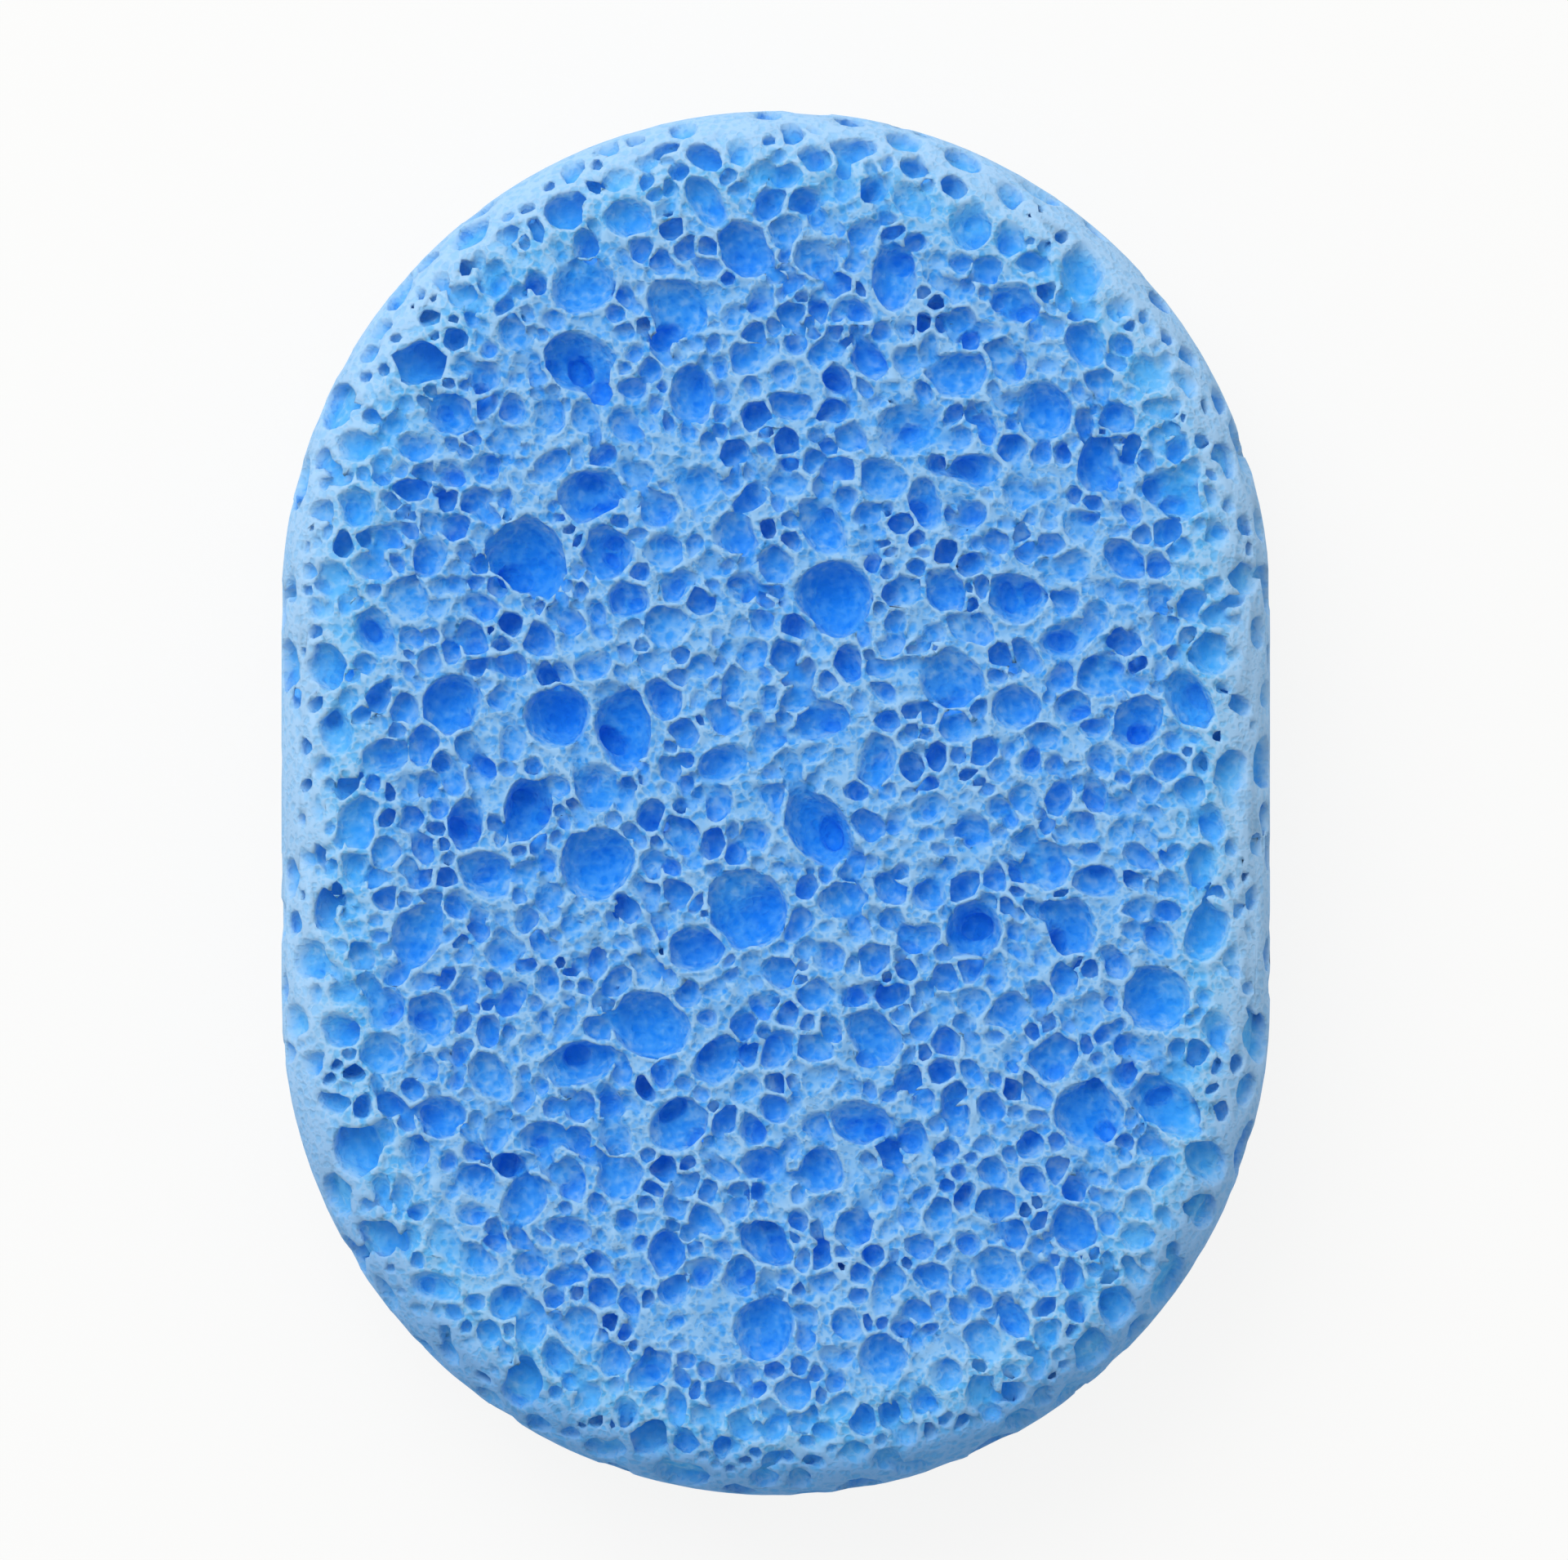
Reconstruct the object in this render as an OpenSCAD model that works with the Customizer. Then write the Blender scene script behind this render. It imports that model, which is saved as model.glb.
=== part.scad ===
// Face sponge: one block of open-pored cellulose, cut to an oval and rounded all round its edge.
// Bubbles in the foam cut its skin as round pores, large and small packed together with thin webs between.
// The block lies on its flat underside, with its length along Y.

/* [Block] */
// Length over both round ends
sponge_length = 105; // [85:1:140]
// Width, which is also the diameter of the round ends
sponge_width = 75; // [60:1:84]
// Thickness from face to face
sponge_thickness = 20; // [14:0.5:32]
// Radius of the rounding between a face and the side
edge_radius = 6; // [3:0.5:6.5]

/* [Pores] */
// Usual radius of the largest bubbles
bubble_max = 2.8; // [2:0.1:4]
// Usual radius of the smallest bubbles
bubble_min = 0.9; // [0.7:0.05:1.4]
// Web of foam left between two bubbles
web = 0.4; // [0.3:0.05:0.8]
// Places on the skin that are tried for a bubble
bubble_tries = 3000; // [300:100:5000]

/* [Hidden] */

end_radius = sponge_width / 2;
straight_half = (sponge_length - sponge_width) / 2;
face_radius = end_radius - edge_radius;
flank = sponge_thickness - 2 * edge_radius;
arc = PI * edge_radius / 2;
profile_run = 2 * arc + flank;
end_run = PI * end_radius;
outline_run = 2 * (2 * straight_half + end_run);

// The bubbles tried first are the largest, and the last ones tried are the smallest
early_tries = 60;
shrink_power = ln(bubble_max / bubble_min) / ln(1 + bubble_tries / early_tries);
// A bubble that neighbours would squeeze below this share of its size is left out
least_swell = 0.8;
// A bubble's centre lies this many radii above the skin at most, and this many below it
rise_max = 0.3;
sink_max = 0.55;
// Usual radius that the bubbles of the rounded edge keep within
edge_bubble_max = 1.8;
// Foam left whole at the tip of each round end, so that the length is never measured into a pore
tip_land = 1;

function fraction(x) = x - floor(x);
function chance(n, salt) = fraction(sin(n * 78.233 + salt * 37.719) * 43758.5453);

// Point and outward direction on the outline, at a distance round it and an offset from the spine
function outline_point(run, offset) =
    let (side = 2 * straight_half)
    run < side ? [[offset, run - straight_half], [1, 0]]
    : run < side + end_run ? end_point((run - side) / end_run * 180, offset, 1)
    : run < 2 * side + end_run ? [[-offset, straight_half - (run - side - end_run)], [-1, 0]]
    : end_point(180 + (run - 2 * side - end_run) / end_run * 180, offset, -1);
function end_point(angle, offset, end) =
    let (out = [cos(angle), sin(angle)])
    [[0, end * straight_half] + offset * out, out];

// Point and outward direction on the rounded edge, at a distance round the outline and up the profile
function edge_point(run, rise) =
    let (
        tilt = rise < arc ? rise / arc * 90 - 90 : rise < arc + flank ? 0 : (rise - arc - flank) / arc * 90,
        centre_z = rise < arc ? edge_radius : min(rise - arc + edge_radius, sponge_thickness - edge_radius),
        at = outline_point(run, face_radius + edge_radius * cos(tilt))
    )
    [
        [at[0].x, at[0].y, centre_z + edge_radius * sin(tilt)],
        [at[1].x * cos(tilt), at[1].y * cos(tilt), sin(tilt)]
    ];

// Point and outward direction on a flat face, or undef where the spot falls off the face
function face_point(u, v, top) =
    let (
        x = (2 * u - 1) * face_radius,
        y = (2 * v - 1) * (face_radius + straight_half)
    )
    norm([x, max(abs(y) - straight_half, 0)]) > face_radius ? undef
    : [[x, y, top ? sponge_thickness : 0], [0, 0, top ? 1 : -1]];

// Of every seven spots tried, two lie on the top face, two on the underside and three on the edge
function on_top(n) = n % 7 < 2;
function on_face(n) = n % 7 < 4;
function skin_spot(n) =
    let (
        u = chance(n, 3),
        v = chance(n, 4)
    )
    on_face(n) ? face_point(u, v, on_top(n)) : edge_point(u * outline_run, v * profile_run);

// Radius that a bubble would reach if no other stood in its way
function aimed_radius(n) =
    let (usual = bubble_max * pow(1 + n / early_tries, -shrink_power))
    (on_face(n) ? usual : min(usual, edge_bubble_max)) * (0.85 + 0.3 * chance(n, 1));

// Bubble as [centre, radius, outward direction]: it swells until it meets the web of a neighbour
function bubble(n, others) =
    let (
        spot = skin_spot(n),
        aim = aimed_radius(n),
        lift = -sink_max + (sink_max + rise_max) * chance(n, 2)
    )
    is_undef(spot) ? undef
    : let (
        centre = spot[0] + lift * aim * spot[1],
        room = min([for (other = others) norm(centre - other[0]) - other[1] - web])
    )
    room < least_swell * aim ? undef
    : [centre, min(aim, room), spot[1]];

// Each bubble is tried against all that came before it
function bubbles(n, found) =
    n >= bubble_tries ? found
    : let (next = bubble(n, found))
    bubbles(n + 1, is_undef(next) ? found : concat(found, [next]));

module edge_profile() {
    square([face_radius, sponge_thickness]);
    translate([0, edge_radius]) square([end_radius, flank]);
    for (z = [edge_radius, sponge_thickness - edge_radius])
        translate([face_radius, z]) circle(edge_radius, $fn = 64);
}

module block() {
    for (end = [-1, 1])
        translate([0, end * straight_half, 0]) rotate_extrude($fn = 128) edge_profile();
    translate([0, straight_half, 0]) rotate([90, 0, 0])
        linear_extrude(2 * straight_half) {
            edge_profile();
            mirror([1, 0]) edge_profile();
        }
}

// One round pore, with the poles of its sphere along the outward direction
module pore(centre, radius, out) {
    translate(centre) rotate([0, acos(out.z), atan2(out.y, out.x)]) sphere(radius, $fn = 24);
}

module sponge() {
    tips = [for (end = [-1, 1]) [[0, end * sponge_length / 2, sponge_thickness / 2], tip_land]];
    found = bubbles(0, tips);
    color("cornflowerblue")
        difference() {
            block();
            for (n = [len(tips) : len(found) - 1])
                pore(found[n][0], found[n][1], found[n][2]);
        }
}

sponge();
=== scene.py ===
import math

import bpy
import numpy as np
import openvdb
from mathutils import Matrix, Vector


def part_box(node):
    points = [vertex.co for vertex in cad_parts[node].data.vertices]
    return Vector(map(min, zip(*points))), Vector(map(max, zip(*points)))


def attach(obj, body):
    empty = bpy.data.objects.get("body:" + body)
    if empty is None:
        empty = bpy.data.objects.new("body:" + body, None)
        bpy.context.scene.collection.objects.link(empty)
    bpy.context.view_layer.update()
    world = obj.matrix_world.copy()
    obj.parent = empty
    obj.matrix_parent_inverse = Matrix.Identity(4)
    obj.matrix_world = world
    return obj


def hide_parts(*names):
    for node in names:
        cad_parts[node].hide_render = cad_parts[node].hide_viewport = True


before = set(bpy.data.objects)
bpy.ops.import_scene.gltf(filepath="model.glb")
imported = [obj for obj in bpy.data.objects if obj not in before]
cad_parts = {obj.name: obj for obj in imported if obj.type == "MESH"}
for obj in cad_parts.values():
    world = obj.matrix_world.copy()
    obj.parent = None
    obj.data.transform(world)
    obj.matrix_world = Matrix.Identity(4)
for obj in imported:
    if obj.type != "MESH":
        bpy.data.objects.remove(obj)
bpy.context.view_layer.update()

# ---------------------------------------------------------------------------
# Sponge block
# One block of regenerated cellulose, cast round grains of salt that wash out and leave its pores, then
# stamped to an oval and rounded along its edge. Cells grow round the block's own bubbles on a grid in
# millimetres, and the foam between them becomes one mesh.
# ---------------------------------------------------------------------------
MM = 0.001
low, high = (np.array(corner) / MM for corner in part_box("sponge"))
width, length, thickness = high - low
edge_radius = 6.0
end_radius = width / 2
straight_half = (length - width) / 2
face_radius = end_radius - edge_radius
arc = math.pi * edge_radius / 2
flank = thickness - 2 * edge_radius
profile_run = 2 * arc + flank
end_run = math.pi * end_radius
side_run = 2 * straight_half
outline_run = 2 * (side_run + end_run)


def chance(number, salt):
    """The block's own dice: a share from 0 to 1 for each number."""
    wave = np.sin(np.radians(number * 78.233 + salt * 37.719)) * 43758.5453
    return wave - np.floor(wave)


def on_outline(run, offset):
    """Points at an offset from the spine, and the outward directions there."""
    half_way = outline_run / 2
    sign = np.where(run < half_way, 1.0, -1.0)
    past = run % half_way
    turn = np.clip((past - side_run) / end_run, 0, 1) * math.pi
    out = np.stack([np.cos(turn), np.sin(turn)], 1)
    spine = np.stack([0 * past, np.minimum(past, side_run) - straight_half], 1)
    return sign[:, None] * (spine + offset[:, None] * out), sign[:, None] * out


def skin_spots(numbers):
    """Points of the block's skin, their outward directions, and which of them really lie on it."""
    u, v = chance(numbers, 3), chance(numbers, 4)
    rise = v * profile_run
    tilt = np.interp(rise, [0, arc, arc + flank, profile_run], np.radians([-90, 0, 0, 90]))
    centre_z = np.clip(rise - arc + edge_radius, edge_radius, thickness - edge_radius)
    flat, out = on_outline(u * outline_run, face_radius + edge_radius * np.cos(tilt))
    point = np.column_stack([flat, centre_z + edge_radius * np.sin(tilt)])
    outward = np.column_stack([out * np.cos(tilt)[:, None], np.sin(tilt)])

    x, y = (2 * u - 1) * face_radius, (2 * v - 1) * (face_radius + straight_half)
    on_face, on_top = numbers % 7 < 4, numbers % 7 < 2
    point[on_face] = np.column_stack([x, y, np.where(on_top, thickness, 0)])[on_face]
    outward[on_face] = np.column_stack([0 * x, 0 * x, np.where(on_top, 1, -1)])[on_face]
    off_face = np.hypot(x, np.maximum(abs(y) - straight_half, 0)) > face_radius
    return point, outward, ~(on_face & off_face)


class Bubbles:
    """Bubbles that have found room so far, each with its centre, radius and outward direction."""

    def __init__(self, most):
        self.centre, self.radius, self.outward = np.zeros((most, 3)), np.zeros(most), np.zeros((most, 3))
        self.count = 0

    def add(self, centre, radius, outward):
        self.centre[self.count], self.radius[self.count] = centre, radius
        self.outward[self.count] = outward
        self.count += 1

    def swell(self, numbers, aims, lifts, web, least):
        """Each bubble in turn swells until it meets a neighbour's web, or is left out where it can't."""
        point, outward, real = skin_spots(numbers)
        centres = point + (lifts * aims)[:, None] * outward
        for i in np.flatnonzero(real):
            gap = self.centre[:self.count] - centres[i]
            room = (np.sqrt(np.einsum("ij,ij->i", gap, gap)) - self.radius[:self.count]).min() - web
            if room >= least * aims[i]:
                self.add(centres[i], min(aims[i], room), outward[i])


# Large and middling bubbles, as the block's own solid has them
BUBBLE_MAX, BUBBLE_MIN, EDGE_BUBBLE_MAX = 2.8, 0.9, 1.8
TRIES, EARLY_TRIES = 3000, 60
TIP_LAND = 1.0
LEAST_SWELL = 0.8
MOST_BUBBLES = 12000
bubbles = Bubbles(MOST_BUBBLES)
for end in (-1, 1):
    bubbles.add((0, end * length / 2, thickness / 2), TIP_LAND, (0, end, 0))
numbers = np.arange(TRIES)
shrink = math.log(BUBBLE_MAX / BUBBLE_MIN) / math.log(1 + TRIES / EARLY_TRIES)
aims = BUBBLE_MAX * (1 + numbers / EARLY_TRIES) ** -shrink
aims = np.where(numbers % 7 < 4, aims, np.minimum(aims, EDGE_BUBBLE_MAX)) * (0.85 + 0.3 * chance(numbers, 1))
bubbles.swell(numbers, aims, -0.55 + 0.85 * chance(numbers, 2), web=0.4, least=LEAST_SWELL)

# Fine bubbles that fill the lands between them. The underside, which is hardly seen, does without. The
# rounding of the upper edge has few of them, and the side has only the larger ones.
FINE_TRIES = 40000
FINE_MAX, FINE_MIN = 1.0, 0.26
SIDE_SHARE = 0.45
numbers = np.arange(TRIES, TRIES + FINE_TRIES)
spots = skin_spots(numbers)[0]
past_face = np.hypot(spots[:, 0], np.maximum(abs(spots[:, 1]) - straight_half, 0)) - face_radius
bare = (past_face > 1.5 + 3 * chance(numbers, 5)) & (spots[:, 2] > thickness - edge_radius)
bare |= (spots[:, 2] < thickness - edge_radius) & (numbers > SIDE_SHARE * FINE_TRIES)
numbers = numbers[(spots[:, 2] > 0) & ~bare]
late = (numbers - TRIES) / FINE_TRIES
aims = FINE_MAX * (FINE_MIN / FINE_MAX) ** (late ** 0.7) * (0.85 + 0.3 * chance(numbers, 1))
bubbles.swell(numbers, aims, -0.7 + 1.4 * chance(numbers, 2), web=0.2, least=LEAST_SWELL)

# The foam is worked out on a grid of cubes. Inside a pore the value is above 0, and in foam it is below.
CUBE = 0.2
MARGIN = 3
grid_low = low - MARGIN * CUBE
grid_count = np.ceil((high - low) / CUBE).astype(int) + 2 * MARGIN + 1
axes = [grid_low[i] + CUBE * np.arange(grid_count[i]) for i in range(3)]
rng = np.random.default_rng(11)


def soft_noise(spacing):
    """Smooth noise from -1 to 1 over the whole grid, with features of about the spacing."""
    knots = [int(np.ptp(axis) / spacing) + 4 for axis in axes]
    field = rng.uniform(-1, 1, knots).astype(np.float32)
    for i, axis in enumerate(axes):
        place = (axis - axis[0]) / spacing + 1
        base = np.floor(place).astype(int)
        t = (place - base)[:, None]
        weights = np.concatenate([(1 - t) ** 3 / 6, (3 * t ** 3 - 6 * t ** 2 + 4) / 6,
                                  (-3 * t ** 3 + 3 * t ** 2 + 3 * t + 1) / 6, t ** 3 / 6], 1)
        blend = np.zeros((len(axis), knots[i]), np.float32)
        for j in range(4):
            blend[np.arange(len(axis)), base - 1 + j] = weights[:, j]
        field = np.moveaxis(np.tensordot(blend, field, (1, i)), 0, i)
    return field * 1.9


def rounding(first, second, width):
    """What a corner between two fields gains when it is rounded over this width."""
    return np.maximum(width - abs(first - second), 0) ** 2 / (4 * width)


# Every cell is bent a little out of round, and its floor is uneven
bent = [axes[0][:, None, None] + 0.45 * soft_noise(3.0) + 0.16 * soft_noise(1.3),
        axes[1][None, :, None] + 0.45 * soft_noise(3.0) + 0.16 * soft_noise(1.3),
        axes[2][None, None, :] + 0.5 * soft_noise(1.7) + 0.2 * soft_noise(0.9)]
bent = [field.astype(np.float32) for field in bent]
FAR = 4.0
RUN_TOGETHER = 0.8


class Cells:
    """Distances over the grid to the nearest and the second nearest cell of one layer of the foam."""

    def __init__(self):
        self.nearest = np.full(grid_count, FAR, np.float32)
        self.second = np.full(grid_count, FAR, np.float32)

    def open(self, balls, stretch):
        """Opens a cell whose balls run together. Its wall will stand half way to the next cell."""
        centres = np.array([ball[0] for ball in balls])
        radii = np.array([ball[1] for ball in balls])
        pad = radii.max() * 0.3 + 1.0 + 2 * CUBE
        first = np.clip(((centres - radii[:, None]).min(0) - pad - grid_low) // CUBE, 0, grid_count - 1)
        last = np.clip(((centres + radii[:, None]).max(0) + pad - grid_low) // CUBE + 2, 1, grid_count)
        first, last = first.astype(int), last.astype(int)
        if (last <= first + 1).any():
            return
        window = tuple(slice(first[i], last[i]) for i in range(3))
        places = bent[0][window], bent[1][window], bent[2][window]
        distance = None
        for centre, radius, shallow in balls:
            x, y, z = (place - np.float32(middle) for place, middle in zip(places, centre))
            z = z / np.float32(shallow)
            flat = stretch[0] * x * x + stretch[1] * y * y + stretch[2] * x * y
            ball = np.sqrt(flat + z * z) - np.float32(radius)
            if distance is None:
                distance = ball
            else:
                distance = np.minimum(distance, ball) - rounding(distance, ball, RUN_TOGETHER)
        before = self.nearest[window]
        self.second[window] = np.minimum(self.second[window], np.maximum(before, distance))
        self.nearest[window] = np.minimum(before, distance)

    def hollow(self, web):
        """How far inside a cell each point lies, where webs of this thickness part the cells."""
        return np.minimum((self.second - self.nearest - web) / 2, -self.nearest)


def flattened(turn, squeeze):
    """Terms that stretch a ball along one level direction by the squeeze and narrow it across."""
    along, across = 1 / squeeze ** 2, squeeze ** 2
    c, s = math.cos(turn), math.sin(turn)
    return (np.float32(along * c * c + across * s * s), np.float32(along * s * s + across * c * c),
            np.float32(2 * c * s * (along - across)))


# Pores of different widths, by their radius: a narrow one has one cell behind it, and wider ones have more
NARROW, MIDDLING, WIDE = 0.6, 0.9, 1.5
DISH = 1.0
WALL_BEHIND = 0.05
LEAST_ROOM = 0.7
mouths, behind = Cells(), Cells()
deep = Bubbles(MOST_BUBBLES)
deep.add((0, 0, -99), 0.1, (0, 0, 1))
for i in range(2, bubbles.count):
    centre, radius, outward = bubbles.centre[i], bubbles.radius[i], bubbles.outward[i]
    level = abs(outward[2]) > 0.99
    below = outward[2] < -0.5
    shallow = 1.0
    if level and radius > DISH:
        # A wide pore on a face is a dish with the bubble's own mouth
        sunk = thickness - centre[2] if outward[2] > 0 else centre[2]
        radius = math.sqrt(radius ** 2 - min(abs(sunk), 0.95 * radius) ** 2)
        centre = centre + sunk * outward
        shallow = rng.uniform(0.75, 1.1)
    reach = np.interp(radius, [0.3, 1.5], [0.32, 0.22])
    balls = [(centre, radius + reach, shallow)]
    # Lobes beside the pore, where two grains ran together
    for lobe in range(rng.integers(0, 2)):
        aside = np.cross(outward, rng.normal(0, 1, 3))
        aside /= np.linalg.norm(aside)
        balls.append((centre + aside * (radius * 0.75) - outward * rng.uniform(0, 0.3) * radius * shallow,
                      radius * rng.uniform(0.45, 0.8), shallow))
    mouths.open(balls, flattened(rng.uniform(0, math.pi), rng.uniform(1.0, 1.3)))
    # Cells behind the pore, where grains touched under it
    if below:
        continue
    if radius < MIDDLING:
        cells_behind = 1
    else:
        cells_behind = rng.integers(1 if radius < WIDE else 0, 4)
    for turn in range(cells_behind):
        heading = rng.normal(0, 0.25 if radius < NARROW else 0.65, 3) - outward
        heading /= np.linalg.norm(heading)
        deep_radius = radius * (rng.uniform(0.6, 0.9) if radius < MIDDLING else rng.uniform(0.2, 0.5))
        away = heading * radius
        away[2] *= shallow
        place = centre + away + heading * deep_radius * 0.4
        gap = deep.centre[:deep.count] - place
        room = (np.sqrt((gap ** 2).sum(1)) - deep.radius[:deep.count]).min() - WALL_BEHIND
        if room > LEAST_ROOM * deep_radius:
            deep_radius = min(room, deep_radius)
            deep.add(place, deep_radius, outward)
            behind.open([(place, deep_radius + 0.12, 1.0)],
                        flattened(rng.uniform(0, math.pi), rng.uniform(1, 1.4)))


def past_edges(x, y, z):
    """How far places lie past the rim of the flat face, and how far past the upright side."""
    past_face = np.hypot(x, np.maximum(abs(y) - straight_half, 0)) - face_radius
    return past_face, abs(z - thickness / 2) - (thickness / 2 - edge_radius)


def block_distance(past_face, past_side):
    """Distance outside the uncut block, below 0 inside it."""
    corner = np.hypot(np.maximum(past_face, 0), np.maximum(past_side, 0))
    return corner + np.minimum(np.maximum(past_face, past_side), 0) - edge_radius


past_face, past_side = (field.astype(np.float32) for field in past_edges(
    axes[0][:, None, None], axes[1][None, :, None], axes[2][None, None, :]))
outside = block_distance(past_face, past_side)
# Webs are thicker toward the rim, and thickest on the rounding of the upper edge
WEB = 0.32
toward_rim = np.clip((past_face / edge_radius - 0.1) / 0.5, 0, 1)
upper_edge = np.clip((axes[2] - 8) / 9, 0, 1).astype(np.float32)[None, None, :]
pores = mouths.hollow(WEB * (1 + 0.45 * soft_noise(2.2))) - toward_rim * (0.1 + 0.12 * upper_edge)
# On the face, the lands between the pores' raised lips have sunk a little
LIP = 0.2
upper = np.clip((axes[2] - thickness / 2) / 4, 0, 1).astype(np.float32)[None, None, :] * (1 - toward_rim)
dip = 0.3 * np.clip((-pores - 0.12) / 0.25, 0, 1) + 0.07 * (1 + soft_noise(1.8))
skin = outside + upper * dip
# The pores open softly into the cells behind them, down to a depth that is less at the rim
SOFT = 0.5
WEB_BEHIND = 0.3
DEEP, SIDE_DEEP, RIM_DEEP = 3.2, 2.0, 1.0
floor_depth = DEEP + (SIDE_DEEP - DEEP + (RIM_DEEP - SIDE_DEEP) * upper_edge) * toward_rim
opened = behind.hollow(WEB_BEHIND)
pores = np.maximum(pores, opened) + rounding(pores, opened, SOFT)
pores = np.minimum(pores, outside + floor_depth)
foam = np.maximum(skin, pores) + rounding(skin, pores, LIP)

BAND = 0.8
volume = openvdb.FloatGrid(1.0)
volume.copyFromArray(np.clip(foam, -BAND, BAND).astype(np.float32), tolerance=0.0)
points, _, quads = volume.convertToPolygons(isovalue=0.0, adaptivity=0.0)
points = points * CUBE + grid_low

# The mesh is thinned while it is still in millimetres, first its lower part and then its upper part, which
# is seen the most and keeps more triangles for its size.
LOWER_PART = 7.0
LOWER_TRIANGLES, UPPER_TRIANGLES = 50000, 146000
ONLY_THERE = 1000.0


def mesh_object(name, points, faces):
    """An object made of points and of faces that all have as many corners."""
    mesh = bpy.data.meshes.new(name)
    mesh.vertices.add(len(points))
    mesh.vertices.foreach_set("co", points.astype(np.float32).ravel())
    mesh.loops.add(faces.size)
    mesh.loops.foreach_set("vertex_index", faces.astype(np.int32).ravel())
    mesh.polygons.add(len(faces))
    mesh.polygons.foreach_set("loop_start", np.arange(0, faces.size, faces.shape[1], dtype=np.int32))
    mesh.update(calc_edges=True)
    mesh.validate()
    thing = bpy.data.objects.new(name, mesh)
    bpy.context.scene.collection.objects.link(thing)
    return thing


sponge = mesh_object("sponge_foam", points, quads[:, ::-1])
is_low = points[:, 2] < LOWER_PART
all_triangles = 2 * len(quads)
high_triangles = all_triangles - 2 * is_low[quads[:, 0]].sum()
half_way = LOWER_TRIANGLES + high_triangles
for name, members, ratio in (("lower", is_low, half_way / all_triangles),
                             ("upper", ~is_low, (LOWER_TRIANGLES + UPPER_TRIANGLES) / half_way)):
    sponge.vertex_groups.new(name=name).add(np.flatnonzero(members).tolist(), 1.0, "REPLACE")
    thin = sponge.modifiers.new("thin_" + name, "DECIMATE")
    thin.ratio = ratio
    thin.vertex_group, thin.vertex_group_factor = name, ONLY_THERE
depsgraph = bpy.context.evaluated_depsgraph_get()
thinned = bpy.data.meshes.new_from_object(sponge.evaluated_get(depsgraph))
sponge.modifiers.clear()
sponge.vertex_groups.clear()
sponge.data = thinned

# Back to metres, kept inside the solid's own box, with two facts noted at every point of the surface:
# how far it lies inside the uncut block, and how near it is to the outline.
place = np.zeros(len(thinned.vertices) * 3, np.float32)
thinned.vertices.foreach_get("co", place)
place = np.clip(place.reshape(-1, 3), low, high)
past_face, past_side = past_edges(*place.T)
pore_depth = -block_distance(past_face, past_side)
thinned.vertices.foreach_set("co", (place * MM).ravel())
for name, values in (("pore_depth", pore_depth), ("edge_place", past_face / edge_radius)):
    thinned.attributes.new(name, "FLOAT", "POINT").data.foreach_set("value", values.astype(np.float32))
thinned.shade_smooth()
thinned.update()


def linear(code):
    """An sRGB hex colour as linear red, green, blue and alpha."""
    shares = [int(code[i:i + 2], 16) / 255 for i in (1, 3, 5)]
    return [s / 12.92 if s <= 0.04045 else ((s + 0.055) / 1.055) ** 2.4 for s in shares] + [1.0]


def node(tree, kind, settings=(), stops=(), **inputs):
    """Adds a node, sets its properties, its colour stops if it has any, and its sockets' values or links."""
    made = tree.nodes.new(kind)
    for name, value in dict(settings).items():
        setattr(made, name, value)
    for i, (position, code) in enumerate(stops):
        ramp = made.color_ramp.elements
        stop = ramp[i] if i in (0, len(stops) - 1) else ramp.new(position)
        stop.position, stop.color = position, linear(code)
    for name, value in inputs.items():
        key = int(name[1:]) if name[0] == "_" else name.replace("_", " ")
        if isinstance(value, bpy.types.NodeSocket):
            tree.links.new(value, made.inputs[key])
        else:
            made.inputs[key].default_value = value
    return made


# Regenerated cellulose, dyed blue in the mass and dried. Its colour has painted light and shade in it:
# painted pale where a thin web stands alone in the light, and a painted deeper blue in the pores, where the
# light has passed from wall to wall.
foam_material = bpy.data.materials.new("dyed_cellulose_foam")
foam_material.use_nodes = True
tree = foam_material.node_tree
tree.nodes.clear()
where = node(tree, "ShaderNodeTexCoord").outputs["Object"]
pore_depth = node(tree, "ShaderNodeAttribute", {"attribute_name": "pore_depth"}).outputs["Fac"]
edge_place = node(tree, "ShaderNodeAttribute", {"attribute_name": "edge_place"}).outputs["Fac"]

# The walls of a pore take the dye unevenly, in clouds
CLOUD = 0.8
cloud = node(tree, "ShaderNodeTexNoise", Vector=where, Scale=1 / (CLOUD * MM), Detail=1.5).outputs
blotch = node(tree, "ShaderNodeMapRange", Value=cloud[0], From_Min=0.3, From_Max=0.7,
              To_Min=-0.9, To_Max=1.0).outputs[0]
in_pore = node(tree, "ShaderNodeMapRange", Value=pore_depth, From_Min=0.3, From_Max=1.3,
               To_Min=0.0, To_Max=1.0).outputs[0]
shade_depth = node(tree, "ShaderNodeMath", {"operation": "MULTIPLY_ADD"}, _0=blotch, _1=in_pore,
                  _2=pore_depth).outputs[0]
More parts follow.
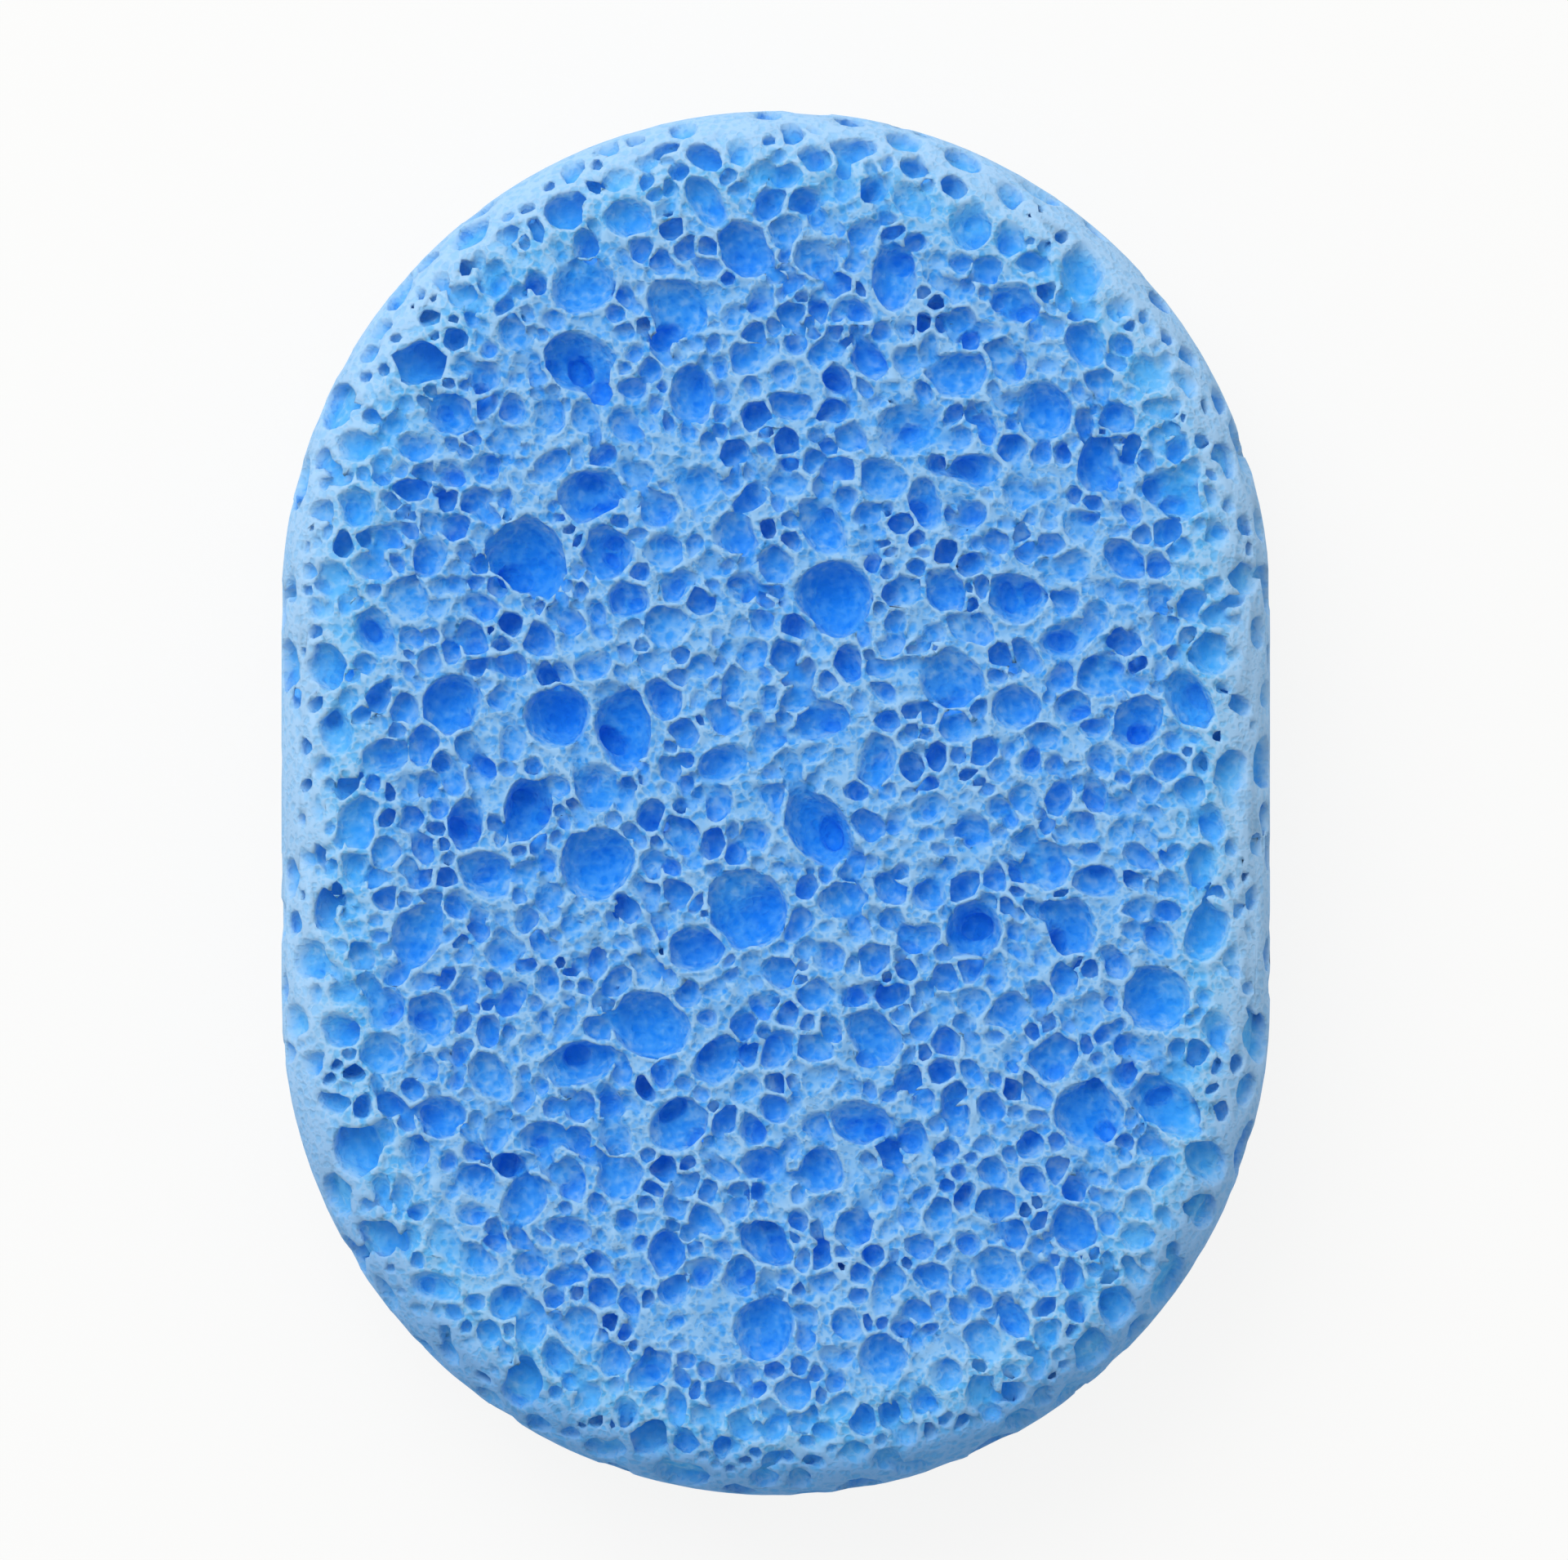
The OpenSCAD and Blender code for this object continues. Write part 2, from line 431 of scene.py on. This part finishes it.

# Pores too fine to cut, as (width, depth), are cells of a bent net that dent the surface and deepen the
# colour inside them as painted shade. They are widest and deepest by chance, and fainter deep in a pore.
FINE_PORES = ((0.7, 1.2), (0.42, 0.7))
WARP = 0.6
warped = node(tree, "ShaderNodeVectorMath", {"operation": "MULTIPLY_ADD"}, _0=cloud["Color"],
              _1=[WARP * MM] * 3, _2=where)
near_skin = node(tree, "ShaderNodeMapRange", Value=pore_depth, From_Min=0.2, From_Max=1.6,
                 To_Min=1.0, To_Max=0.7).outputs[0]
dents = 0.0
for size, deepest in FINE_PORES:
    cells = node(tree, "ShaderNodeTexVoronoi", Vector=warped.outputs[0], Scale=1 / (size * MM)).outputs
    reach = node(tree, "ShaderNodeMapRange", Value=cells["Color"], From_Min=0.25, From_Max=0.75,
                 To_Min=0.7, To_Max=0.35)
    depth_here = node(tree, "ShaderNodeMapRange", Value=cells["Color"], From_Min=0.25, From_Max=0.75,
                      To_Min=deepest, To_Max=0.3 * deepest)
    pit = node(tree, "ShaderNodeMapRange", {"interpolation_type": "SMOOTHSTEP"}, Value=cells["Distance"],
               From_Min=reach.outputs[0], From_Max=0.2, To_Min=0.0, To_Max=depth_here.outputs[0]).outputs[0]
    pit = node(tree, "ShaderNodeMath", {"operation": "MULTIPLY"}, _0=pit, _1=near_skin).outputs[0]
    shade_depth = node(tree, "ShaderNodeMath", {"operation": "ADD"}, _0=shade_depth, _1=pit).outputs[0]
    dents = node(tree, "ShaderNodeMath", {"operation": "ADD"}, _0=dents, _1=pit).outputs[0]


# Painted shade down the pores, darker from the skin to the deepest spot: a pure blue on the face, and paler,
# nearer cyan at the rim, where the pores are shallow, with painted light that glows through the thin edge
DEEPEST = 5.0
FACE_SHADE_COLOURS = ((0.0, "#A6CFF3"), (0.03, "#97C6F1"), (0.08, "#83BBEE"), (0.18, "#68AEF0"),
                (0.35, "#409CF0"), (0.65, "#1A88EE"), (1.0, "#087CE9"))
RIM_GLOW_AND_SHADE_COLOURS = ((0.0, "#A8D0F3"), (0.08, "#8AC6F3"), (0.2, "#64B8F3"), (0.5, "#40AAF4"), (1.0, "#2A98EE"))
shade_share = node(tree, "ShaderNodeMath", {"operation": "DIVIDE"}, _0=shade_depth, _1=DEEPEST).outputs[0]
on_face = node(tree, "ShaderNodeValToRGB", {}, FACE_SHADE_COLOURS, _0=shade_share).outputs[0]
rim_glow_and_shade = node(tree, "ShaderNodeValToRGB", {}, RIM_GLOW_AND_SHADE_COLOURS, _0=shade_share).outputs[0]
# Toward the outline the rim colours take over, paler and less deep: painted light glowing through the thin
# edge.
pale_rim_share = node(tree, "ShaderNodeMapRange", {"interpolation_type": "SMOOTHSTEP"}, Value=edge_place,
                 From_Min=-0.7, From_Max=0.3, To_Min=0.0, To_Max=1.0).outputs[0]
dye_with_painted_light = node(tree, "ShaderNodeMix", {"data_type": "RGBA"}, _0=pale_rim_share, _6=on_face, _7=rim_glow_and_shade)

# The outer skin of the rim is painted pale, a painted glow of light through the thin edge, and less of it
# down its pores.
# The glow is painted light toward the far end, on the room's bright side, and a bluer painted shade at the
# near end
rim_glow_share = node(tree, "ShaderNodeMapRange", {"interpolation_type": "SMOOTHSTEP"}, Value=edge_place,
                  From_Min=0.0, From_Max=0.7, To_Min=0.0, To_Max=0.7).outputs[0]
at_skin = node(tree, "ShaderNodeMapRange", Value=pore_depth, From_Min=0.1, From_Max=1.0,
               To_Min=1.0, To_Max=0.1).outputs[0]
rim_glow_share = node(tree, "ShaderNodeMath", {"operation": "MULTIPLY"}, _0=rim_glow_share, _1=at_skin).outputs[0]
along = node(tree, "ShaderNodeSeparateXYZ", Vector=where).outputs["Y"]
lit_end_share = node(tree, "ShaderNodeMapRange", {"interpolation_type": "SMOOTHSTEP"}, Value=along,
                 From_Min=-52 * MM, From_Max=-10 * MM, To_Min=0.0, To_Max=1.0).outputs[0]
rim_glow_colour = node(tree, "ShaderNodeMix", {"data_type": "RGBA"}, _0=lit_end_share, _6=linear("#5A9FE3"),
            _7=linear("#A2CBF1"))
dye_with_painted_light = node(tree, "ShaderNodeMix", {"data_type": "RGBA"}, _0=rim_glow_share, _6=dye_with_painted_light.outputs[2],
              _7=rim_glow_colour.outputs[2])
raised = node(tree, "ShaderNodeBump", {"invert": True}, Strength=0.4, Distance=0.18 * MM, Height=dents)
foam_shader = node(tree, "ShaderNodeBsdfPrincipled", Base_Color=dye_with_painted_light.outputs[2], Roughness=0.9,
                   Specular_IOR_Level=0.2, Normal=raised.outputs["Normal"])
node(tree, "ShaderNodeOutputMaterial", Surface=foam_shader.outputs[0])
sponge.data.materials.clear()
sponge.data.materials.append(foam_material)

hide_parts("sponge")
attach(sponge, "root")

# ---------------------------------------------------------------------------
# Floor
# A plain white sheet under the sponge. It shows white to the camera and keeps a trace of the shadow.
# ---------------------------------------------------------------------------
FLOOR_SIZE = 3.0
SELF_LIT = 0.86
corners = np.array([(-1, -1, 0), (1, -1, 0), (1, 1, 0), (-1, 1, 0)]) * FLOOR_SIZE / 2
floor = mesh_object("floor", corners, np.array([[0, 1, 2, 3]]))
paper = bpy.data.materials.new("white_paper")
paper.use_nodes = True
tree = paper.node_tree
tree.nodes.clear()
lit = node(tree, "ShaderNodeBsdfDiffuse", Color=linear("#F2F2F2"))
plain = node(tree, "ShaderNodeEmission", Color=linear("#FEFEFD"), Strength=1.0)
rays = node(tree, "ShaderNodeLightPath")
seen = node(tree, "ShaderNodeMath", {"operation": "MAXIMUM"}, _0=rays.outputs["Is Camera Ray"],
            _1=rays.outputs["Is Glossy Ray"])
seen_share = node(tree, "ShaderNodeMath", {"operation": "MULTIPLY"}, _0=seen.outputs[0], _1=SELF_LIT)
shown = node(tree, "ShaderNodeMixShader", _0=seen_share.outputs[0], _1=lit.outputs[0], _2=plain.outputs[0])
node(tree, "ShaderNodeOutputMaterial", Surface=shown.outputs[0])
floor.data.materials.append(paper)

# ---------------------------------------------------------------------------
# Light
# A white room that is brighter toward the far end and the left, and darker behind the near end, with one
# large soft lamp on its bright side.
# ---------------------------------------------------------------------------
room = bpy.data.worlds.new("white_room")
bpy.context.scene.world = room
room.use_nodes = True
tree = room.node_tree
tree.nodes.clear()
toward = node(tree, "ShaderNodeTexCoord").outputs["Generated"]
BRIGHT_SIDE = (-0.35, 0.85, 0.3)
brightward = node(tree, "ShaderNodeVectorMath", {"operation": "DOT_PRODUCT"}, _0=toward, _1=BRIGHT_SIDE)
brightness = node(tree, "ShaderNodeMapRange", Value=brightward.outputs["Value"],
                  From_Min=-1.0, From_Max=1.0, To_Min=0.23, To_Max=0.975).outputs[0]
room_light = node(tree, "ShaderNodeBackground", Color=(1, 1, 1, 1), Strength=brightness)
room_seen = node(tree, "ShaderNodeBackground", Color=(1, 1, 1, 1), Strength=1.0)
rays = node(tree, "ShaderNodeLightPath")
mixed = node(tree, "ShaderNodeMixShader", _0=rays.outputs["Is Camera Ray"], _1=room_light.outputs[0],
             _2=room_seen.outputs[0])
node(tree, "ShaderNodeOutputWorld", Surface=mixed.outputs[0])

lamp = bpy.data.lights.new("soft_lamp", "AREA")
lamp.shape, lamp.size = "DISK", 0.7
lamp.energy = 4.0
soft_lamp = bpy.data.objects.new("soft_lamp", lamp)
soft_lamp.location = (-0.35, 0.55, 0.75)
soft_lamp.rotation_euler = (-soft_lamp.location).to_track_quat("-Z", "Y").to_euler()
bpy.context.scene.collection.objects.link(soft_lamp)

# ---------------------------------------------------------------------------
# Camera
# It looks straight down from far away, so that the block's sides hardly show.
# ---------------------------------------------------------------------------
PICTURE_WIDTH = 1920
BLOCK_PIXELS = 1199
RIGHT_PIXELS, UP_PIXELS = 10, 28
picture_mm = width * PICTURE_WIDTH / BLOCK_PIXELS
pixel_mm = picture_mm / PICTURE_WIDTH
lens = bpy.data.cameras.new("camera")
lens.lens, lens.sensor_width = 135.0, 36.0
distance_mm = picture_mm * lens.lens / lens.sensor_width
camera = bpy.data.objects.new("camera", lens)
camera.location = (RIGHT_PIXELS * pixel_mm * MM, UP_PIXELS * pixel_mm * MM,
                   (distance_mm + thickness / 2) * MM)
bpy.context.scene.collection.objects.link(camera)
bpy.context.scene.camera = camera
bpy.context.scene.view_settings.view_transform = "Standard"
